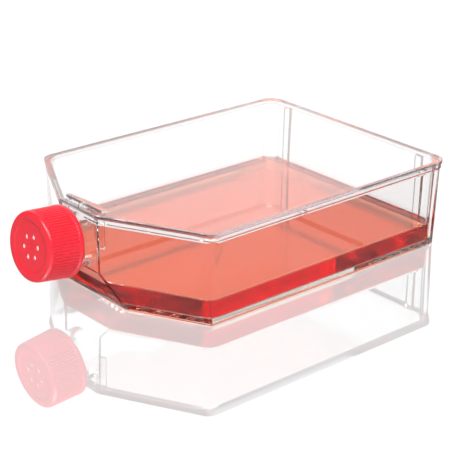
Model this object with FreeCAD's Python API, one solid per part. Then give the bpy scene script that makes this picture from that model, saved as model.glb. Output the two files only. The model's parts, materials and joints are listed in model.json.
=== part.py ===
"""Cell culture flask: clear tray and lid, canted threaded neck, vented screw cap, medium inside.

Millimetres. +Z is up, the foot rim stands on Z = 0, the neck points along -X and upwards.
The origin is the bottom centre of the whole object's bounding box.
"""
import os

import FreeCAD
import Part
from math import atan2, cos, hypot, pi, radians, sin

# Plan outline of the lid, measured from the front flat that carries the neck.
lid_width = 117.0
body_length = 165.4
shoulder_depth = 24.2
front_flat_width = 25.1
back_corner_radius = 7.2
side_corner_radius = 6.3
front_corner_radius = 3.0
least_corner_radius = 0.6

# The same corners of the tray's outer walls and of its inner space, as if at no setback.
wall_back_radius = 7.2
wall_side_radius = 3.6
wall_front_radius = 2.0
cavity_back_radius = 10.8
cavity_side_radius = 11.6
cavity_front_radius = 3.9

# Heights of the tray and the lid.
lid_top = 40.95
lid_thickness = 1.35
tray_flange_thickness = 2.2
floor_top = 2.4
foot_height = 0.35
medium_level = 10.2

# Walls of the tray.
wall_thickness = 1.6
wall_setback = 0.9
wall_draft = 0.86
tray_flange_setback = 0.1
tray_flange_undercut = 0.7
foot_rim_width = 2.4
ramp_top_height = 14.6
ramp_foot_x = 7.6
back_rib_y = 43.6
back_rib_width = 3.7
back_rib_depth = 1.2
back_rib_top = 38.2
medium_gap = 0.05

# Lid: flat plate with raised bars behind the neck and locating tabs underneath.
lid_edge_chamfer = 0.2
lid_edge_upright = 1.2
lid_edge_undercut = 0.1
bar_height = 1.1
bar_front = 3.6
bar_thickness = 0.8
bar_slope_length = 3.8
bar_half_length = 12.3
bar_gap = 0.8
stub_thickness = 1.0
stub_length = 2.7
tab_behind_corner = 2.6
tab_past_corner = 1.1
tab_drop = 14.45
tab_thickness = 1.1
tab_wall_gap = 1.3
root_bite = 1.0

# Neck, measured along its own axis from the plane of the front flat.
neck_height = 26.8
neck_tilt = 6.47
neck_radius = 11.7
neck_bore_radius = 10.0
neck_thread_root = 11.5
neck_rim_at = 22.4
bead_radius = 12.8
bead_start = 4.3
bead_end = 6.3

# Thread shared by the neck and the cap: single start, right hand.
thread_pitch = 4.2
thread_turns = 1.25
thread_root_half = 1.0
thread_crest_half = 0.45
thread_bite = 0.35
neck_thread_crest = 12.6
neck_thread_start = 14.05
cap_thread_lag = 1.55

# Cap.
cap_rear_at = 7.35
cap_front_at = 24.0
cap_inner_radius = 12.9
cap_thread_crest = 12.05
cap_rear_radius = 15.4
cap_front_radius = 14.9
collar_length = 2.0
grip_setback = 0.1
rib_count = 72
rib_height = 0.35
bevel_length = 1.2
bevel_depth = 1.0
bevel_first_share = 0.33
bevel_last_share = 0.8
face_step_radius = 10.9
face_step_run = 0.7
face_recess = 0.45
cap_top_thickness = 0.95
skirt_chamfer = 0.5
vent_count = 6
vent_radius = 1.1
vent_ring_radius = 4.8
vent_phase = -17.5
dimple_radius = 0.9
dimple_depth = 0.4

# Seal ring and vent membrane.
seal_inner_radius = 10.1
seal_outer_radius = 12.4
membrane_radius = 9.4
membrane_thickness = 0.3

# Derived values.
beyond = 5.0
lid_radii = (back_corner_radius, side_corner_radius, front_corner_radius)
wall_radii = (wall_back_radius, wall_side_radius, wall_front_radius)
cavity_radii = (cavity_back_radius, cavity_side_radius, cavity_front_radius)
tilt = radians(neck_tilt)
half_width = lid_width / 2
cap_reach = cap_front_at * cos(tilt) + (cap_front_radius - bevel_depth) * sin(tilt)
front_x = -(body_length - cap_reach) / 2
lid_base = lid_top - lid_thickness
tray_flange_base = lid_base - tray_flange_thickness
cap_inner_top = cap_front_at - cap_top_thickness
rib_front_at = cap_front_at - bevel_length


def plan_corners(inset, radii):
    """Corners of the plan outline, moved inwards by inset, with the radius of each."""
    back_radius, side_radius, front_radius = radii
    back_x = front_x + body_length
    side_x = front_x + shoulder_depth
    flat_y = front_flat_width / 2
    corners = [
        (back_x, half_width, back_radius),
        (side_x, half_width, side_radius),
        (front_x, flat_y, front_radius),
        (front_x, -flat_y, front_radius),
        (side_x, -half_width, side_radius),
        (back_x, -half_width, back_radius),
    ]
    moved = []
    for i, (x, y, radius) in enumerate(corners):
        px, py, _ = corners[i - 1]
        nx, ny, _ = corners[(i + 1) % len(corners)]
        ax, ay = unit(x - px, y - py)
        bx, by = unit(nx - x, ny - y)
        # The outline runs anticlockwise, so its inner side is on the left of each edge.
        bend = ax * by - ay * bx
        step = inset / bend
        moved.append((x + step * (bx - ax), y + step * (by - ay), max(radius - inset, least_corner_radius)))
    return moved


def unit(x, y):
    """The direction of a plan vector."""
    length = hypot(x, y)
    return x / length, y / length


def outline(inset, height, radii=lid_radii):
    """Closed wire of the plan outline with rounded corners, at a height."""
    corners = plan_corners(inset, radii)
    spans = []
    for i, (x, y, radius) in enumerate(corners):
        px, py, _ = corners[i - 1]
        nx, ny, _ = corners[(i + 1) % len(corners)]
        ax, ay = unit(px - x, py - y)
        bx, by = unit(nx - x, ny - y)
        half_angle = abs(atan2(ax * by - ay * bx, ax * bx + ay * by)) / 2
        reach = radius / (sin(half_angle) / cos(half_angle))
        start = FreeCAD.Vector(x + ax * reach, y + ay * reach, height)
        end = FreeCAD.Vector(x + bx * reach, y + by * reach, height)
        mx, my = unit(ax + bx, ay + by)
        nearest = radius / sin(half_angle) - radius
        middle = FreeCAD.Vector(x + mx * nearest, y + my * nearest, height)
        spans.append((start, middle, end))
    edges = []
    for i, (start, middle, end) in enumerate(spans):
        edges.append(Part.makeLine(spans[i - 1][2], start))
        edges.append(Part.Arc(start, middle, end).toShape())
    return Part.Wire(edges)


def slab(low_inset, low, high_inset, high, radii=lid_radii):
    """Solid between two plan outlines."""
    wires = [outline(low_inset, low, radii), outline(high_inset, high, radii)]
    return Part.makeLoft(wires, True, True)


def wall_inset(height):
    """Setback of the tray's outer wall from the lid's outline; the walls lean out upwards."""
    return wall_setback + wall_draft * (1 - height / tray_flange_base)


def ramp_x(height, offset):
    """Where the ramp's plane is at a height; offset is a distance square to the plane."""
    top_x = front_x + wall_inset(ramp_top_height)
    run = front_x + ramp_foot_x - top_x
    slant = hypot(run, ramp_top_height) / ramp_top_height
    return top_x + run * (1 - height / ramp_top_height) + offset * slant


def ahead_of_ramp(offset):
    """Everything in front of the ramp's plane, for cutting."""
    low = -beyond
    high = ramp_top_height + beyond
    ahead = front_x - 2 * beyond
    points = [
        FreeCAD.Vector(ahead, -half_width, low),
        FreeCAD.Vector(ramp_x(low, offset), -half_width, low),
        FreeCAD.Vector(ramp_x(high, offset), -half_width, high),
        FreeCAD.Vector(ahead, -half_width, high),
    ]
    face = Part.Face(Part.makePolygon(points + points[:1]))
    return face.extrude(FreeCAD.Vector(0, lid_width, 0))


def cavity(gap, top):
    """Inner space of the tray up to a height, made smaller by gap."""
    low = wall_inset(floor_top) + wall_thickness + gap
    high = wall_inset(top) + wall_thickness + gap
    space = slab(low, floor_top + gap, high, top, cavity_radii)
    return space.cut(ahead_of_ramp(wall_thickness + gap))


def on_neck(shape):
    """Move a shape built on the Z axis onto the neck's axis."""
    turn = FreeCAD.Rotation(FreeCAD.Vector(0, 1, 0), neck_tilt - 90)
    placement = FreeCAD.Placement(FreeCAD.Vector(front_x, 0, neck_height), turn)
    moved = shape.copy()
    moved.Placement = placement.multiply(moved.Placement)
    return moved


def turned(profile):
    """Solid of revolution about Z from (radius, height) points."""
    points = [FreeCAD.Vector(r, 0, z) for r, z in profile]
    face = Part.Face(Part.makePolygon(points + points[:1]))
    return face.revolve(FreeCAD.Vector(0, 0, 0), FreeCAD.Vector(0, 0, 1), 360)


def thread_ridge(root, crest, start):
    """Right-hand ridge on a radius, climbing one pitch a turn from start along the axis."""
    corners = [
        (root, -thread_root_half),
        (crest, -thread_crest_half),
        (crest, thread_crest_half),
        (root, thread_root_half),
    ]
    points = [FreeCAD.Vector(r, 0, z) for r, z in corners]
    section = Part.makePolygon(points + points[:1])
    helix = Part.makeHelix(thread_pitch, thread_pitch * thread_turns, (root + crest) / 2)
    ridge = Part.Wire(helix.Edges).makePipeShell([section], True, True)
    ridge.translate(FreeCAD.Vector(0, 0, start))
    return ridge


def upright_plate(start, end, thickness, low, high):
    """Vertical plate between two plan points, measured from the front flat."""
    ux, uy = unit(end[0] - start[0], end[1] - start[1])
    sx = -uy * thickness / 2
    sy = ux * thickness / 2
    plan = [
        (start[0] + sx, start[1] + sy),
        (start[0] - sx, start[1] - sy),
        (end[0] - sx, end[1] - sy),
        (end[0] + sx, end[1] + sy),
    ]
    points = [FreeCAD.Vector(front_x + x, y, low) for x, y in plan]
    face = Part.Face(Part.makePolygon(points + points[:1]))
    return face.extrude(FreeCAD.Vector(0, 0, high - low))


def box_between(low, high):
    """Axis-aligned box from its low corner to its high corner."""
    size = [b - a for a, b in zip(low, high)]
    return Part.makeBox(*size, FreeCAD.Vector(*low))


def make_tray():
    """Floor, walls, ramp, foot rim, flange and threaded neck as one moulding."""
    top_inset = wall_inset(tray_flange_base)
    walls = slab(wall_inset(0), 0, top_inset, tray_flange_base, wall_radii)
    walls = walls.cut(ahead_of_ramp(0))
    flange_inset = tray_flange_setback + tray_flange_undercut
    flange = slab(flange_inset, tray_flange_base, tray_flange_setback, lid_base)
    neck = on_neck(turned([
        (0, -beyond),
        (neck_radius, -beyond),
        (neck_radius, bead_start),
        (bead_radius, bead_start + bead_radius - neck_radius),
        (bead_radius, bead_end - (bead_radius - neck_thread_root) / 2),
        (neck_thread_root, bead_end),
        (neck_thread_root, neck_rim_at),
        (0, neck_rim_at),
    ]))
    ridge = thread_ridge(neck_thread_root - thread_bite, neck_thread_crest, neck_thread_start)
    bore = turned([
        (0, -2 * beyond),
        (neck_bore_radius, -2 * beyond),
        (neck_bore_radius, neck_rim_at + beyond),
        (0, neck_rim_at + beyond),
    ])
    foot_inset = wall_inset(0) + foot_rim_width
    foot = slab(foot_inset, -beyond, foot_inset, foot_height, wall_radii)
    foot = foot.cut(ahead_of_ramp(foot_rim_width))
    tray = walls.fuse(flange).fuse(neck).cut(cavity(0, lid_base + medium_gap))
    tray = tray.cut(foot).fuse(on_neck(ridge)).cut(on_neck(bore))
    for side in (-1, 1):
        tray = tray.fuse(back_rib(side))
    return tray.removeSplitter()


def back_rib(side):
    """Upright rib inside the back wall, near one corner."""
    outer = front_x + body_length - wall_setback - wall_thickness / 2
    inner = front_x + body_length - wall_inset(floor_top) - wall_thickness - back_rib_depth
    y = side * back_rib_y
    low = (inner, y - back_rib_width / 2, floor_top - root_bite)
    high = (outer - wall_draft / 2, y + back_rib_width / 2, back_rib_top)
    return box_between(low, high)


def make_lid():
    """Flat lid with raised bars behind the neck and locating tabs underneath, as one moulding."""
    lid = Part.makeLoft([
        outline(lid_edge_undercut, lid_base),
        outline(0, lid_top - lid_edge_upright),
        outline(0, lid_top - lid_edge_chamfer),
        outline(lid_edge_chamfer, lid_top),
    ], True, True)
    for side in (-1, 1):
        lid = lid.fuse(stacking_bar(side * bar_gap / 2, side * bar_half_length))
        lid = lid.fuse(locating_tab(side))
    start = (bar_front + bar_thickness, 0)
    end = (bar_front - stub_length, 0)
    low = lid_top - root_bite
    high = lid_top + bar_height
    lid = lid.fuse(upright_plate(start, end, stub_thickness, low, high))
    return lid.removeSplitter()


def stacking_bar(start_y, end_y):
    """Raised bar with an upright front, a narrow top and a long slope behind."""
    profile = [
        (bar_front, lid_top - root_bite),
        (bar_front, lid_top + bar_height),
        (bar_front + bar_thickness, lid_top + bar_height),
        (bar_front + bar_thickness + bar_slope_length, lid_top),
        (bar_front + bar_thickness + bar_slope_length, lid_top - root_bite),
    ]
    points = [FreeCAD.Vector(front_x + x, start_y, z) for x, z in profile]
    face = Part.Face(Part.makePolygon(points + points[:1]))
    return face.extrude(FreeCAD.Vector(0, end_y - start_y, 0))


def locating_tab(side):
    """Tab under the lid, parallel to one shoulder and just inside the front corner."""
    inset = wall_inset(tray_flange_base) + wall_thickness + wall_draft / 2
    corners = plan_corners(inset + tab_wall_gap + tab_thickness / 2, lid_radii)
    cx, cy, _ = corners[2]
    sx, sy, _ = corners[1]
    ux, uy = unit(sx - cx, sy - cy)
    cx -= front_x
    start = (cx - ux * tab_behind_corner, side * (cy - uy * tab_behind_corner))
    end = (cx + ux * tab_past_corner, side * (cy + uy * tab_past_corner))
    return upright_plate(start, end, tab_thickness, lid_base - tab_drop, lid_base + root_bite)


def make_medium():
    """Liquid standing on the floor up to its level, just clear of the walls and ribs."""
    liquid = cavity(medium_gap, medium_level)
    for side in (-1, 1):
        rib = back_rib(side)
        low = FreeCAD.Vector(rib.BoundBox.XMin, rib.BoundBox.YMin, rib.BoundBox.ZMin)
        high = FreeCAD.Vector(rib.BoundBox.XMax, rib.BoundBox.YMax, rib.BoundBox.ZMax)
        gap = FreeCAD.Vector(medium_gap, medium_gap, medium_gap)
        liquid = liquid.cut(box_between(low - gap, high + gap))
    return liquid


def rib_star(crest, height):
    """Closed zigzag wire of the cap's ribs."""
    points = []
    for i in range(2 * rib_count):
        radius = crest if i % 2 == 0 else crest - rib_height
        angle = pi * i / rib_count
        points.append(FreeCAD.Vector(radius * cos(angle), radius * sin(angle), height))
    return Part.makePolygon(points + points[:1])


def make_cap():
    """Ribbed cap with a smooth collar, a thread and vent holes, closed on the neck."""
    collar_end = cap_rear_at + collar_length
    grip = Part.makeLoft([
        rib_star(cap_rear_radius - grip_setback, collar_end),
        rib_star(cap_front_radius, rib_front_at),
    ], True, True)
    collar = turned([
        (0, cap_rear_at),
        (cap_rear_radius - skirt_chamfer, cap_rear_at),
        (cap_rear_radius, cap_rear_at + skirt_chamfer),
        (cap_rear_radius, collar_end),
        (0, collar_end),
    ])
    crest = cap_front_radius - grip_setback
    front = turned([
        (0, rib_front_at),
        (crest, rib_front_at),
        (crest, rib_front_at + bevel_length * bevel_first_share),
        (cap_front_radius - bevel_depth / 2, rib_front_at + bevel_length * bevel_last_share),
        (cap_front_radius - bevel_depth, cap_front_at),
        (0, cap_front_at),
    ])
    dish = turned([
        (0, cap_front_at - face_recess),
        (face_step_radius - face_step_run, cap_front_at - face_recess),
        (face_step_radius + face_step_run, cap_front_at + face_recess),
        (0, cap_front_at + face_recess),
    ])
    hollow = turned([
        (0, cap_rear_at - beyond),
        (cap_inner_radius + skirt_chamfer + beyond, cap_rear_at - beyond),
        (cap_inner_radius, cap_rear_at + skirt_chamfer),
        (cap_inner_radius, cap_inner_top),
        (0, cap_inner_top),
    ])
    dimple = turned([
        (0, cap_front_at - face_recess - dimple_depth),
        (dimple_radius, cap_front_at - face_recess),
        (dimple_radius, cap_front_at),
        (0, cap_front_at),
    ])
    cap = collar.fuse(grip).fuse(front).cut(hollow).cut(dish).cut(dimple)
    for i in range(vent_count):
        angle = radians(vent_phase + 360 * i / vent_count)
        place = FreeCAD.Vector(vent_ring_radius * cos(angle), vent_ring_radius * sin(angle), 0)
        place.z = cap_inner_top - beyond
        cap = cap.cut(Part.makeCylinder(vent_radius, cap_top_thickness + 2 * beyond, place))
    start = neck_thread_start - cap_thread_lag
    ridge = thread_ridge(cap_inner_radius + thread_bite, cap_thread_crest, start)
    return on_neck(cap.fuse(ridge))


def make_seal():
    """Flat ring between the neck's rim and the inside of the cap."""
    return on_neck(turned([
        (seal_inner_radius, neck_rim_at),
        (seal_outer_radius, neck_rim_at),
        (seal_outer_radius, cap_inner_top),
        (seal_inner_radius, cap_inner_top),
    ]))


def make_membrane():
    """Thin disc on the inside of the cap's face, behind the vent holes."""
    return on_neck(turned([
        (0, cap_inner_top - membrane_thickness),
        (membrane_radius, cap_inner_top - membrane_thickness),
        (membrane_radius, cap_inner_top),
        (0, cap_inner_top),
    ]))


pieces = {
    "flask_body": make_tray(),
    "top_plate": make_lid(),
    "culture_medium": make_medium(),
    "screw_cap": make_cap(),
    "seal_ring": make_seal(),
    "vent_membrane": make_membrane(),
}

os.makedirs("parts", exist_ok=True)
for name, piece in pieces.items():
    piece.exportStep("parts/" + name + ".step")
    box = piece.optimalBoundingBox()
    print(name, piece.ShapeType, piece.isValid(), len(piece.Solids), round(piece.Volume, 1))
    print("  x", round(box.XMin, 3), round(box.XMax, 3), "y", round(box.YMin, 3), round(box.YMax, 3))
    print("  z", round(box.ZMin, 3), round(box.ZMax, 3))
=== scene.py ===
"""Looks of the cell culture flask: clear moulded tray and lid, red medium, ribbed red cap.

Shapes are made in millimetres in the CAD model's frame, and finish_piece() brings them to metres.
A loft's levels are (inset, height) pairs, and the inset moves the plan outline inwards. A turned
profile's points are (radius, station) pairs, and the station is the distance along the neck's axis
from the front flat.
"""

import json
from math import acos, atan2, cos, hypot, pi, radians, sin, tan

import bmesh
import bpy
from mathutils import Matrix, Vector


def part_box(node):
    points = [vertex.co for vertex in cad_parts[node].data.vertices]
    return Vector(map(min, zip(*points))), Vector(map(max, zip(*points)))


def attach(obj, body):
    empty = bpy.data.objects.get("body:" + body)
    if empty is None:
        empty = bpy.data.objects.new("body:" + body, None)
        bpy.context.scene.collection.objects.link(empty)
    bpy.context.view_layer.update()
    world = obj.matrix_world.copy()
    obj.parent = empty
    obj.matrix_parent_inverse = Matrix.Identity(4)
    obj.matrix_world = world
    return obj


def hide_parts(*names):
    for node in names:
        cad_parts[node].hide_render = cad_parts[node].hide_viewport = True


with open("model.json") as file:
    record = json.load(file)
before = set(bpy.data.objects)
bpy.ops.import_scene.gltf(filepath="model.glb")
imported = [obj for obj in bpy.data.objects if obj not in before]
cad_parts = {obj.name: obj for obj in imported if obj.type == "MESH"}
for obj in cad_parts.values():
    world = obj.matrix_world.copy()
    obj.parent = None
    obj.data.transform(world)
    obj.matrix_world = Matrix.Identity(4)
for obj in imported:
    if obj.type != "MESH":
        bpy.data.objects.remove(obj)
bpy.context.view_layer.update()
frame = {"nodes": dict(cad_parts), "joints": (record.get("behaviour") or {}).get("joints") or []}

MM = 0.001
CORNER_STEPS = 14
ROUND_STEPS = 128
THREAD_STEPS = 72
VENT_STEPS = 28
STEPS_PER_RIB = 8
LEAST_RADIUS = 0.6
MERGE_DISTANCE = 0.0004

# Places that the CAD model gives.
lid_low, lid_high = (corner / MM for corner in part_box("top_plate"))
medium_low, medium_high = (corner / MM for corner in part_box("culture_medium"))
joints = {joint["name"]: joint for joint in frame["joints"]}
neck_point = Vector(joints["cap_turn"]["pos_m"]) / MM
neck_axis = Vector(joints["cap_turn"]["axis"]).normalized()
front_x = lid_low.x
back_x = lid_high.x
half_width = lid_high.y

# Plan outline, with the radii of its back, side and front corners.
shoulder_depth = 24.2
flat_half = 12.55
lid_radii = (7.2, 6.3, 3.0)
wall_radii = (7.2, 3.6, 2.0)
cavity_radii = (10.8, 11.6, 3.9)

# Heights.
bar_height = 1.1
plate_thickness = 1.35
flange_height = 2.2
medium_gap = 0.05
lid_top = lid_high.z - bar_height
lid_base = lid_top - plate_thickness
flange_base = lid_base - flange_height
floor_top = medium_low.z - medium_gap
medium_level = medium_high.z

# How far joined shapes reach into each other, and cutters past what they cut.
overlap = 1

# Tray. The ramp is the sloping front wall under the neck. The ribs' outer faces lie a little
# inwards from the middle of the wall at the flange, so that they stay in the wall all the way down.
wall = 1.6
wall_setback = 0.9
wall_draft = 0.86
wall_in_flange = 0.5
flange_setback = 0.1
fillet = 1.0
foot_height = 0.35
foot_rim = 2.4
foot_slope = 0.2
foot_edge = 0.45
foot_edge_middle = 0.13
ramp_top = 14.6
ramp_foot = 7.6
rib_y = 43.6
rib_width = 3.7
rib_depth = 1.2
rib_from_middle = 0.45
rib_under_lid = 1.4

# Neck, and the thread of both the neck and the cap. A ridge starts with the least share of its
# height, and has all of it after 1 / thread_rise of a turn.
neck_start = -5
neck_radius = 11.7
neck_front_radius = 11.5
neck_rim = 22.4
bore_radius = 10
bore_start = -10
bore_end = 23.2
thread_pitch = 4.2
thread_turns = 1.25
thread_root_half = 1.0
thread_crest_half = 0.45
thread_rounding = 0.1
thread_shoulder = 0.85
thread_rise = 14
thread_least = 0.05

# Lid, with raised bars behind the neck and tabs that locate it in the tray's front corners.
lid_sink = 0.03
bar_front = 3.6
bar_crest = 0.8
bar_length = 4.6
bar_ends = (0.4, 12.3)
stub_front = 0.9
stub_thickness = 1.0
tab_gap = 1.3
tab_thickness = 1.1
tab_before_corner = 2.6
tab_past_corner = 1.1

# Medium. It reaches a little into the plastic, so that the two are seen in contact.
bite = 0.08
meniscus = [(0, 1.1), (0.12, 1.1), (0.25, 0.75), (0.5, 0.45), (0.9, 0.22), (1.5, 0.08), (2.4, 0)]

# Cap. Its ribs fade at both ends, and what is nearer to the axis than the skirt stays round.
cap_ribs = 72
grip_start = 9.25
grip_end = 22.85
grip_start_fade = 0.5
grip_end_fade = 0.6
grip_depth = 0.35
grip_fullness = 0.7
skirt_radius = 14
vents = 6
vent_circle = 4.8
vent_radius = 1.1
vent_first_angle = -17.5
vent_ends = (22.6, 25)


# Shapes.

def plan_corners(inset, radii):
    """Corners (x, y, radius) of the plan moved inwards, from radii of its back, side and front."""
    back, side, front = radii
    base = [
        (back_x, half_width, back),
        (front_x + shoulder_depth, half_width, side),
        (front_x, flat_half, front),
        (front_x, -flat_half, front),
        (front_x + shoulder_depth, -half_width, side),
        (back_x, -half_width, back),
    ]
    moved = []
    for i, (x, y, radius) in enumerate(base):
        before, after = base[i - 1], base[(i + 1) % len(base)]
        a = Vector((x - before[0], y - before[1])).normalized()
        b = Vector((after[0] - x, after[1] - y)).normalized()
        step = inset / (a.x * b.y - a.y * b.x)
        new_x, new_y = x + step * (b.x - a.x), y + step * (b.y - a.y)
        moved.append((new_x, new_y, max(radius - inset, LEAST_RADIUS)))
    return moved


def ring(inset, z, radii):
    """Points of the rounded plan outline at a height."""
    corners = plan_corners(inset, radii)
    points = []
    for i, (x, y, radius) in enumerate(corners):
        before, after = corners[i - 1], corners[(i + 1) % len(corners)]
        a = Vector((before[0] - x, before[1] - y)).normalized()
        b = Vector((after[0] - x, after[1] - y)).normalized()
        half = acos(max(-1, min(1, a.dot(b)))) / 2
        centre = Vector((x, y)) + (a + b).normalized() * radius / sin(half)
        start = Vector((x, y)) + a * radius / tan(half) - centre
        end = Vector((x, y)) + b * radius / tan(half) - centre
        turn = atan2(start.x * end.y - start.y * end.x, start.dot(end))
        for k in range(CORNER_STEPS + 1):
            t = turn * k / CORNER_STEPS
            px = centre.x + start.x * cos(t) - start.y * sin(t)
            py = centre.y + start.x * sin(t) + start.y * cos(t)
            points.append((px, py, z))
    return points


def stacked(rings):
    """Closed bmesh through rings of points, capped at both ends."""
    bm = bmesh.new()
    loops = [[bm.verts.new(p) for p in points] for points in rings]
    for a, b in zip(loops, loops[1:]):
        for k in range(len(a)):
            m = (k + 1) % len(a)
            bm.faces.new((a[k], a[m], b[m], b[k]))
    bm.faces.new(loops[0][::-1])
    bm.faces.new(loops[-1])
    bmesh.ops.recalc_face_normals(bm, faces=bm.faces)
    return bm


def loft(levels, radii=lid_radii):
    """Closed bmesh through plan outlines at their levels."""
    return stacked([ring(inset, z, radii) for inset, z in levels])


def floor_edge(inset, base):
    """Levels of the quarter circle between a floor and its walls, at 0, 30 and 60 degrees."""
    steps = ((1, 0), (0.5, 0.134), (0.134, 0.5))
    return [(inset + fillet * inwards, base + fillet * up) for inwards, up in steps]


def wall_inset(z):
    """Inset of the tray's outer wall at a height, as the walls lean outwards to the top."""
    return wall_setback + wall_draft * (1 - z / flange_base)


ramp_start = Vector((front_x + wall_inset(ramp_top), 0, ramp_top))
ramp_end = Vector((front_x + ramp_foot, 0, 0))
ramp_along = (ramp_end - ramp_start).normalized()
ramp_out = Vector((ramp_along.z, 0, -ramp_along.x))


def cut_ramp(bm, inwards):
    """Removes what is in front of the ramp, moved inwards, and closes the cut."""
    geom = bm.verts[:] + bm.edges[:] + bm.faces[:]
    point = ramp_start - ramp_out * inwards
    cut = bmesh.ops.bisect_plane(
        bm, geom=geom, dist=1e-5, plane_co=point, plane_no=ramp_out, clear_outer=True)
    edges = [g for g in cut["geom_cut"] if isinstance(g, bmesh.types.BMEdge)]
    bmesh.ops.contextual_create(bm, geom=edges)
    bmesh.ops.recalc_face_normals(bm, faces=bm.faces)


# Station of the joint's point.
neck_reach = (front_x - neck_point.x) / -neck_axis.x


def on_axis(radius, angle, station):
    """Point at a radius, angle and station round the neck's axis."""
    across = Vector((0, 1, 0))
    up = across.cross(neck_axis)
    base = neck_point + neck_axis * (station - neck_reach)
    return base + up * (radius * cos(angle)) + across * (radius * sin(angle))


def turned(profile, steps=ROUND_STEPS, shape=None):
    """Closed bmesh of revolution about the neck's axis, where its profile starts and ends."""
    bm = bmesh.new()
    loops = []
    for r, s in profile:
        if r == 0:
            loops.append([bm.verts.new(on_axis(0, 0, s))])
            continue
        loops.append([])
        for k in range(steps):
            angle = 2 * pi * k / steps
            radius = shape(r, s, angle) if shape else r
            loops[-1].append(bm.verts.new(on_axis(radius, angle, s)))
    for a, b in zip(loops, loops[1:]):
        for k in range(steps):
            m = (k + 1) % steps
            if len(a) == 1:
                bm.faces.new((a[0], b[m], b[k]))
            elif len(b) == 1:
                bm.faces.new((a[k], a[m], b[0]))
            else:
                bm.faces.new((a[k], a[m], b[m], b[k]))
    bmesh.ops.recalc_face_normals(bm, faces=bm.faces)
    return bm


def thread(root, crest, start):
    """Closed ridge that climbs round the neck's axis and fades at both ends."""
    steps = int(THREAD_STEPS * thread_turns)
    sections = []
    for k in range(steps + 1):
        t = k / steps
        angle = 2 * pi * thread_turns * t
        station = start + thread_pitch * thread_turns * t
        rise = min(1.0, t * thread_turns * thread_rise, (1 - t) * thread_turns * thread_rise)
        top = root + (crest - root) * max(sin(rise * pi / 2), thread_least)
        shoulder = root + (top - root) * thread_shoulder
        section = [
            (root, -thread_root_half), (shoulder, -thread_crest_half - thread_rounding),
            (top, -thread_crest_half + thread_rounding), (top, thread_crest_half - thread_rounding),
            (shoulder, thread_crest_half + thread_rounding), (root, thread_root_half),
        ]
        sections.append([on_axis(r, angle, station + along) for r, along in section])
    return stacked(sections)


def upright_plate(start, end, thickness, low, high):
    """Vertical plate between two plan points, whose x is measured from the front flat."""
    a, b = Vector(start), Vector(end)
    u = (b - a).normalized()
    side = Vector((-u.y, u.x)) * thickness / 2
    plan = [a + side, a - side, b - side, b + side]
    return stacked([[(front_x + p.x, p.y, z) for p in plan] for z in (low, high)])


def block(low, high):
    """Box between its low and high corners."""
    corners = [(low[0], low[1]), (high[0], low[1]), (high[0], high[1]), (low[0], high[1])]
    return stacked([[(x, y, z) for x, y in corners] for z in (low[2], high[2])])


# Objects.

def mesh_object(name, bm):
    """Object in the scene, made from a bmesh."""
    mesh = bpy.data.meshes.new(name)
    bm.to_mesh(mesh)
    bm.free()
    obj = bpy.data.objects.new(name, mesh)
    bpy.context.scene.collection.objects.link(obj)
    return obj


def applied(obj):
    """Replaces an object's mesh by its evaluated mesh."""
    depsgraph = bpy.context.evaluated_depsgraph_get()
    mesh = bpy.data.meshes.new_from_object(obj.evaluated_get(depsgraph))
    obj.modifiers.clear()
    obj.data = mesh


def combine(target, other, operation):
    """Applies a boolean with another bmesh to an object."""
    tool = mesh_object("tool", other)
    modifier = target.modifiers.new("cut", "BOOLEAN")
    modifier.operation = operation
    modifier.solver = "EXACT"
    modifier.object = tool
    applied(target)
    bpy.data.objects.remove(tool)


def finish_piece(obj, body, material, node, sharp=28.0):
    """Gives a piece its size, normals, material and place in the frame."""
    bm = bmesh.new()
    bm.from_mesh(obj.data)
    bmesh.ops.remove_doubles(bm, verts=bm.verts, dist=MERGE_DISTANCE)
    bmesh.ops.dissolve_degenerate(bm, dist=MERGE_DISTANCE, edges=bm.edges)
    bmesh.ops.recalc_face_normals(bm, faces=bm.faces)
    bm.to_mesh(obj.data)
    bm.free()
    obj.data.transform(Matrix.Scale(MM, 4))
    obj.data.materials.clear()
    obj.data.materials.append(material)
    obj.data.shade_smooth()
    obj.data.set_sharp_from_angle(angle=radians(sharp))
    modifier = obj.modifiers.new("normals", "WEIGHTED_NORMAL")
    modifier.keep_sharp = True
    applied(obj)
    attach(obj, body)
    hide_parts(node)


# Materials.

def add_node(tree, kind, values=None):
    """New node of a kind, with values for its inputs by name or number."""
    node = tree.nodes.new(kind)
    for key, value in (values or {}).items():
        node.inputs[key].default_value = value
    return node


def principled(name, values=None):
    """New material with values for its shader's inputs."""
    material = bpy.data.materials.new(name)
    material.use_nodes = True
    shader = material.node_tree.nodes["Principled BSDF"]
    for key, value in (values or {}).items():
        shader.inputs[key].default_value = value
    return material


def see_through(name, tint, ior, colour, density):
    """Clear material that absorbs all but a colour, with a density per metre."""
    material = principled(name, {
        "Base Color": (tint, tint, tint, 1), "Transmission Weight": 1.0, "IOR": ior, "Roughness": 0.0,
    })
    tree = material.node_tree
    volume = add_node(tree, "ShaderNodeVolumeAbsorption", {"Color": (*colour, 1), "Density": density})
    tree.links.new(volume.outputs["Volume"], tree.nodes["Material Output"].inputs["Volume"])
    return material


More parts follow.
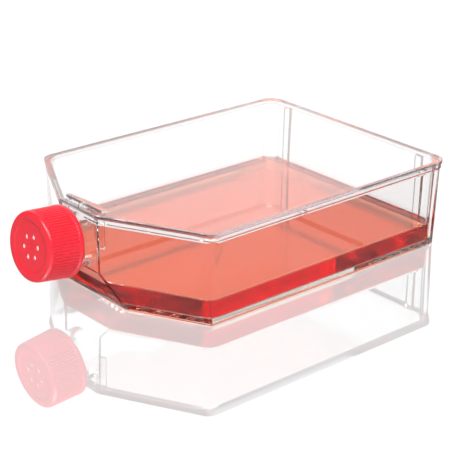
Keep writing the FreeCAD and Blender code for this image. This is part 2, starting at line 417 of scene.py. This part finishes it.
def moulded(name, low, high, roughness, size, depth):
    """Opaque material of slightly varying colour and gloss, with a grain of size and depth in metres."""
    material = principled(name)
    tree = material.node_tree
    shader = tree.nodes["Principled BSDF"]
    place = add_node(tree, "ShaderNodeTexCoord")
    cloud = add_node(tree, "ShaderNodeTexNoise", {"Scale": 0.1 / size})
    grain = add_node(tree, "ShaderNodeTexNoise", {"Scale": 1 / size, "Detail": 4})
    for noise in (cloud, grain):
        tree.links.new(place.outputs["Object"], noise.inputs["Vector"])
    tint = add_node(tree, "ShaderNodeMix")
    tint.data_type = "RGBA"
    tint.inputs["A"].default_value = (*low, 1)
    tint.inputs["B"].default_value = (*high, 1)
    tree.links.new(cloud.outputs["Fac"], tint.inputs["Factor"])
    tree.links.new(tint.outputs["Result"], shader.inputs["Base Color"])
    gloss = add_node(tree, "ShaderNodeMapRange", {
        "From Min": 0.3, "From Max": 0.7, "To Min": roughness[0], "To Max": roughness[1],
    })
    tree.links.new(grain.outputs["Fac"], gloss.inputs["Value"])
    tree.links.new(gloss.outputs["Result"], shader.inputs["Roughness"])
    bump = add_node(tree, "ShaderNodeBump", {"Distance": depth})
    tree.links.new(grain.outputs["Fac"], bump.inputs["Height"])
    tree.links.new(bump.outputs["Normal"], shader.inputs["Normal"])
    return material


POLYSTYRENE_IOR = 1.59
MEDIUM_IOR = 1.335

tray_plastic = see_through(
    "clear_polystyrene", tint=0.988, ior=POLYSTYRENE_IOR, colour=(0.45, 0.6, 0.65), density=3.5)
lid_plastic = see_through(
    "clear_polystyrene_lid", tint=1, ior=POLYSTYRENE_IOR, colour=(0.5, 0.47, 0.6), density=5.0)
red_liquid = see_through(
    "red_medium", tint=1, ior=MEDIUM_IOR, colour=(0.998, 0.41, 0.08), density=188.0)
red_plastic = moulded(
    "red_polyethylene", low=(0.76, 0.019, 0.035), high=(0.84, 0.025, 0.045),
    roughness=(0.27, 0.35), size=0.0004, depth=0.000003)
white_membrane = moulded(
    "white_membrane", low=(0.86, 0.86, 0.87), high=(0.94, 0.94, 0.93),
    roughness=(0.7, 0.9), size=0.0002, depth=0.00004)
white_seal = moulded(
    "seal_white", low=(0.77, 0.77, 0.75), high=(0.83, 0.83, 0.81),
    roughness=(0.45, 0.55), size=0.0004, depth=0.00001)


# Tray.

def outer_walls():
    """Solid inside the leaning outer walls and the ramp, with a rounded foot."""
    foot = wall_inset(0)
    top = flange_base + wall_in_flange
    walls = loft([
        (foot + foot_edge, 0), (foot + foot_edge_middle, foot_edge_middle), (foot, foot_edge),
        (wall_inset(top), top),
    ], wall_radii)
    cut_ramp(walls, 0)
    return walls


def flange():
    """Solid rim under the lid, which spreads, steps back over a small ledge and spreads again."""
    face = flange_setback
    return loft([
        (wall_setback + 0.06, flange_base - 1.0), (wall_setback - 0.04, flange_base - 0.6),
        (wall_setback - 0.18, flange_base - 0.25), (face + 0.45, flange_base),
        (face + 0.34, flange_base + 0.18), (face + 0.36, flange_base + 0.24),
        (face + 0.7, flange_base + 0.52), (face + 0.44, flange_base + 0.95),
        (face + 0.23, flange_base + 1.45), (face + 0.02, lid_base - 0.08),
        (face + 0.02, lid_base - 0.04), (face + 0.06, lid_base),
    ])


def neck():
    """Solid neck: a plain length that starts in the tray, a bead, and the thread's seat and rim."""
    plain = [(0, neck_start), (neck_radius, neck_start), (neck_radius, 4.0)]
    bead = [
        (11.85, 4.4), (12.3, 4.6), (12.7, 4.75), (12.8, 5.0), (12.8, 5.7), (12.6, 6.0), (11.8, 6.2),
    ]
    seat = [(neck_front_radius, 6.5), (neck_front_radius, 22.0)]
    rim = [(11.4, 22.3), (11.1, neck_rim), (0, neck_rim)]
    return turned(plain + bead + seat + rim)


def cavity():
    """Cutter for the tray's inner space."""
    above = lid_base + overlap
    space = loft(floor_edge(wall_inset(floor_top) + wall, floor_top) + [
        (wall_inset(floor_top + fillet) + wall, floor_top + fillet), (wall_inset(above) + wall, above),
    ], cavity_radii)
    cut_ramp(space, wall)
    return space


def foot_recess():
    """Cutter under the floor, which leaves a rim to stand on."""
    inner = wall_inset(0) + foot_rim
    recess = loft([
        (inner, -overlap), (inner, foot_height - foot_slope), (inner + foot_slope, foot_height),
    ], wall_radii)
    cut_ramp(recess, foot_rim)
    return recess


def bore():
    """Cutter for the neck's bore, which widens at its mouth."""
    return turned([
        (0, bore_start), (bore_radius, bore_start), (bore_radius, 21.6),
        (bore_radius + 0.3, 22.2), (bore_radius + 0.7, bore_end), (0, bore_end),
    ])


def rib(side):
    """Upright rib on the back wall at one side, rooted in the floor and the wall."""
    inner_x = back_x - wall_inset(floor_top) - wall - rib_depth
    outer_x = back_x - wall_setback - wall / 2 - rib_from_middle
    low = (inner_x, side * rib_y - rib_width / 2, floor_top - overlap)
    high = (outer_x, side * rib_y + rib_width / 2, lid_base - rib_under_lid)
    return block(low, high)


def make_tray():
    """Clear moulding under the lid."""
    tray = mesh_object("tray_clear", outer_walls())
    combine(tray, flange(), "UNION")
    combine(tray, neck(), "UNION")
    combine(tray, cavity(), "DIFFERENCE")
    combine(tray, foot_recess(), "DIFFERENCE")
    combine(tray, thread(root=11.15, crest=12.6, start=14.05), "UNION")
    combine(tray, bore(), "DIFFERENCE")
    for side in (-1, 1):
        combine(tray, rib(side), "UNION")
    finish_piece(tray, "flask", tray_plastic, "flask_body")


# Lid.

def plate():
    """Flat plate with rounded edges, sunk a little into the tray's flange."""
    return loft([
        (0.15, lid_base - lid_sink), (0.04, lid_base + 0.08), (0, lid_base + 0.2),
        (0, lid_top - 0.2), (0.06, lid_top - 0.06), (0.2, lid_top),
    ])


def bar(side):
    """Raised bar at one side of the middle, steep to the neck and sloping to the back."""
    profile = [
        (bar_front, lid_top - overlap), (bar_front, lid_high.z - 0.08), (bar_front + 0.08, lid_high.z),
        (bar_front + bar_crest, lid_high.z), (bar_front + bar_length, lid_top),
        (bar_front + bar_length, lid_top - overlap),
    ]
    return stacked([[(front_x + x, side * end, z) for x, z in profile] for end in bar_ends])


def tab(side):
    """Locating tab under the plate, in line with the slanting wall at one side of the front flat."""
    inset = wall_setback + wall + wall_draft / 2 + tab_gap + tab_thickness / 2
    shoulder, front = (Vector(corner[:2]) for corner in plan_corners(inset, lid_radii)[1:3])
    toward = (shoulder - front).normalized()
    corner = front - Vector((front_x, 0))
    a, b = corner - toward * tab_before_corner, corner + toward * tab_past_corner
    return upright_plate(
        (a.x, side * a.y), (b.x, side * b.y), tab_thickness, lid_low.z, lid_base + overlap)


def stub():
    """Short raised plate between the bars, towards the neck."""
    return upright_plate(
        (bar_front + bar_crest, 0), (stub_front, 0), stub_thickness, lid_top - overlap, lid_high.z)


def make_lid():
    """Clear moulding that closes the tray."""
    lid = mesh_object("lid_clear", plate())
    for side in (-1, 1):
        combine(lid, bar(side), "UNION")
        combine(lid, tab(side), "UNION")
    combine(lid, stub(), "UNION")
    finish_piece(lid, "flask", lid_plastic, "top_plate")


# Medium.

def make_medium():
    """Liquid that fills the tray to its level and climbs the walls a little."""
    base = floor_top - bite
    low = wall_inset(floor_top) + wall - bite
    high = wall_inset(medium_level) + wall - bite
    surface = [(high + inwards, medium_level + up) for inwards, up in meniscus]
    medium = loft(floor_edge(low, base) + [(low, base + fillet)] + surface, cavity_radii)
    cut_ramp(medium, wall - bite)
    liquid = mesh_object("medium_liquid", medium)
    finish_piece(liquid, "flask", red_liquid, "culture_medium")


# Cap.

def ribbed(r, s, angle):
    """Radius of the skirt's ribbed outside at an angle; the rest keeps its radius."""
    if r < skirt_radius or s < grip_start or s > grip_end:
        return r
    share = min(1, (s - grip_start) / grip_start_fade, (grip_end - s) / grip_end_fade)
    wave = 0.5 + 0.5 * cos(cap_ribs * angle)
    return r - grip_depth * (1 - wave ** grip_fullness) * share


def cap_shell():
    """Cap without its vents and its inner thread."""
    inside = [(0, 23.05), (12.6, 23.05), (12.9, 22.7), (12.9, 8.25)]
    collar = [(13.3, 7.55), (13.6, 7.35), (15.0, 7.35), (15.3, 7.55), (15.4, 7.85), (15.4, 8.95)]
    grip = [
        (15.3, grip_start), (15.28, 9.55), (15.26, 10.05), (15.1, 14.85), (14.95, 20.35),
        (14.9, 22.05), (14.88, 22.55), (14.8, grip_end),
    ]
    edge = [(14.65, 23.25), (14.4, 23.65), (14.1, 23.9), (13.8, 24.0), (11.5, 24.0)]
    face = [
        (11.1, 23.95), (10.8, 23.75), (10.5, 23.57), (10.0, 23.55), (1.1, 23.55), (0.9, 23.45),
        (0.4, 23.2), (0, 23.15),
    ]
    return turned(inside + collar + grip + edge + face, cap_ribs * STEPS_PER_RIB, ribbed)


def vent(angle):
    """Cutter for the vent hole at an angle in the cap's face."""
    plan = []
    for k in range(VENT_STEPS):
        t = 2 * pi * k / VENT_STEPS
        u = vent_circle * cos(angle) + vent_radius * cos(t)
        v = vent_circle * sin(angle) + vent_radius * sin(t)
        plan.append((hypot(u, v), atan2(v, u)))
    return stacked([[on_axis(radius, turn, s) for radius, turn in plan] for s in vent_ends])


def make_cap():
    """Ribbed red moulding on the neck."""
    cap = mesh_object("cap_red", cap_shell())
    for k in range(vents):
        combine(cap, vent(radians(vent_first_angle + 360 / vents * k)), "DIFFERENCE")
    combine(cap, thread(root=13.1, crest=12.05, start=12.5), "UNION")
    finish_piece(cap, "cap", red_plastic, "screw_cap", sharp=40)


make_tray()
make_lid()
make_medium()
make_cap()

# The seal ring and the membrane keep their CAD shapes.
for node, material in (("seal_ring", white_seal), ("vent_membrane", white_membrane)):
    frame["nodes"][node].data.materials.clear()
    frame["nodes"][node].data.materials.append(material)


# Floor.

def floor_material():
    """Pale glossy sheet with a share of white glow for the camera, and less of it through plastic."""
    material = bpy.data.materials.new("floor_white")
    material.use_nodes = True
    tree = material.node_tree
    tree.nodes.clear()
    out = add_node(tree, "ShaderNodeOutputMaterial")
    diffuse = add_node(tree, "ShaderNodeBsdfDiffuse", {"Color": (0.9, 0.9, 0.9, 1)})
    glossy = add_node(tree, "ShaderNodeBsdfGlossy", {"Roughness": 0.03, "Color": (1, 1, 1, 1)})
    sheet = add_node(tree, "ShaderNodeMixShader", {"Fac": 0.85})
    glow = add_node(tree, "ShaderNodeEmission", {"Color": (1, 1, 1, 1), "Strength": 1.0})
    shown = add_node(tree, "ShaderNodeMixShader")
    path = add_node(tree, "ShaderNodeLightPath")
    share = add_node(tree, "ShaderNodeMath", {1: 0.45})
    share.operation = "MULTIPLY"
    through = add_node(tree, "ShaderNodeMath", {1: 0.8})
    through.operation = "MULTIPLY_ADD"
    tree.links.new(diffuse.outputs[0], sheet.inputs[1])
    tree.links.new(glossy.outputs[0], sheet.inputs[2])
    tree.links.new(path.outputs["Is Transmission Ray"], through.inputs[0])
    tree.links.new(path.outputs["Is Camera Ray"], through.inputs[2])
    tree.links.new(through.outputs[0], share.inputs[0])
    tree.links.new(share.outputs[0], shown.inputs["Fac"])
    tree.links.new(sheet.outputs[0], shown.inputs[1])
    tree.links.new(glow.outputs[0], shown.inputs[2])
    tree.links.new(shown.outputs[0], out.inputs["Surface"])
    return material


def make_floor(reach=12.0, drop=0.0002):
    """Square sheet just under the flask, with its sizes in metres."""
    mesh = bpy.data.meshes.new("floor")
    corners = [(-reach, -reach, 0), (reach, -reach, 0), (reach, reach, 0), (-reach, reach, 0)]
    mesh.from_pydata(corners, [], [(0, 1, 2, 3)])
    mesh.materials.append(floor_material())
    floor = bpy.data.objects.new("floor", mesh)
    bpy.context.scene.collection.objects.link(floor)
    floor.location.z = -drop


# Light.

def direction(azimuth, height):
    """Unit vector at an azimuth and a height in degrees."""
    a, h = radians(azimuth), radians(height)
    return Vector((cos(a) * cos(h), sin(a) * cos(h), sin(h)))


def make_room():
    """Dim room with a round white backdrop behind the flask.

    The backdrop is full within 23 degrees of its middle and ends at 39. The dim room round it
    shows as dark lines along the clear plastic's edges.
    """
    world = bpy.data.worlds.new("studio")
    bpy.context.scene.world = world
    world.use_nodes = True
    tree = world.node_tree
    background = tree.nodes["Background"]
    background.inputs["Color"].default_value = (1, 1, 1, 1)
    where = add_node(tree, "ShaderNodeTexCoord")
    behind = add_node(tree, "ShaderNodeVectorMath", {1: direction(48.7, 18)})
    behind.operation = "DOT_PRODUCT"
    level = add_node(tree, "ShaderNodeMapRange", {
        "From Min": 0.78, "From Max": 0.92, "To Min": 0.06, "To Max": 1.15,
    })
    level.interpolation_type = "SMOOTHSTEP"
    tree.links.new(where.outputs["Generated"], behind.inputs[0])
    tree.links.new(behind.outputs["Value"], level.inputs["Value"])
    tree.links.new(level.outputs["Result"], background.inputs["Strength"])


def soft_lamp(name, azimuth, height, watts, distance=1.2, size=0.5):
    """Round lamp that points at the frame's origin, from a distance in metres."""
    lamp = bpy.data.objects.new(name, bpy.data.lights.new(name, "AREA"))
    lamp.data.shape = "DISK"
    lamp.data.size = size
    lamp.data.energy = watts
    toward = direction(azimuth, height)
    lamp.location = toward * distance
    lamp.rotation_euler = toward.to_track_quat("Z", "Y").to_euler()
    bpy.context.scene.collection.objects.link(lamp)


# Camera.

def make_camera():
    """Long lens on the neck's side, looking down at the flask."""
    yaw, pitch, roll = radians(48.12), radians(22.813), radians(1.235)
    place = Vector((front_x - 335.27, -465.68, 274.35)) * MM
    camera = bpy.data.objects.new("camera", bpy.data.cameras.new("camera"))
    camera.data.sensor_width = 36
    camera.data.lens = 119.715
    camera.data.clip_end = 50
    forward = Vector((cos(yaw) * cos(pitch), sin(yaw) * cos(pitch), -sin(pitch)))
    right = Vector((sin(yaw), -cos(yaw), 0))
    up = right.cross(forward)
    right, up = right * cos(roll) + up * sin(roll), up * cos(roll) - right * sin(roll)
    turn = Matrix((right, up, -forward)).transposed().to_4x4()
    camera.matrix_world = Matrix.Translation(place) @ turn
    bpy.context.scene.collection.objects.link(camera)
    bpy.context.scene.camera = camera


make_floor()
make_room()
soft_lamp("key", azimuth=195, height=60, watts=12.3)
soft_lamp("fill", azimuth=255, height=52, watts=9)
make_camera()

# Light crosses many faces inside the clear plastic.
BOUNCES = 160
scene = bpy.context.scene
scene.view_settings.view_transform = "Standard"
scene.cycles.max_bounces = BOUNCES
scene.cycles.transmission_bounces = BOUNCES
scene.cycles.glossy_bounces = BOUNCES
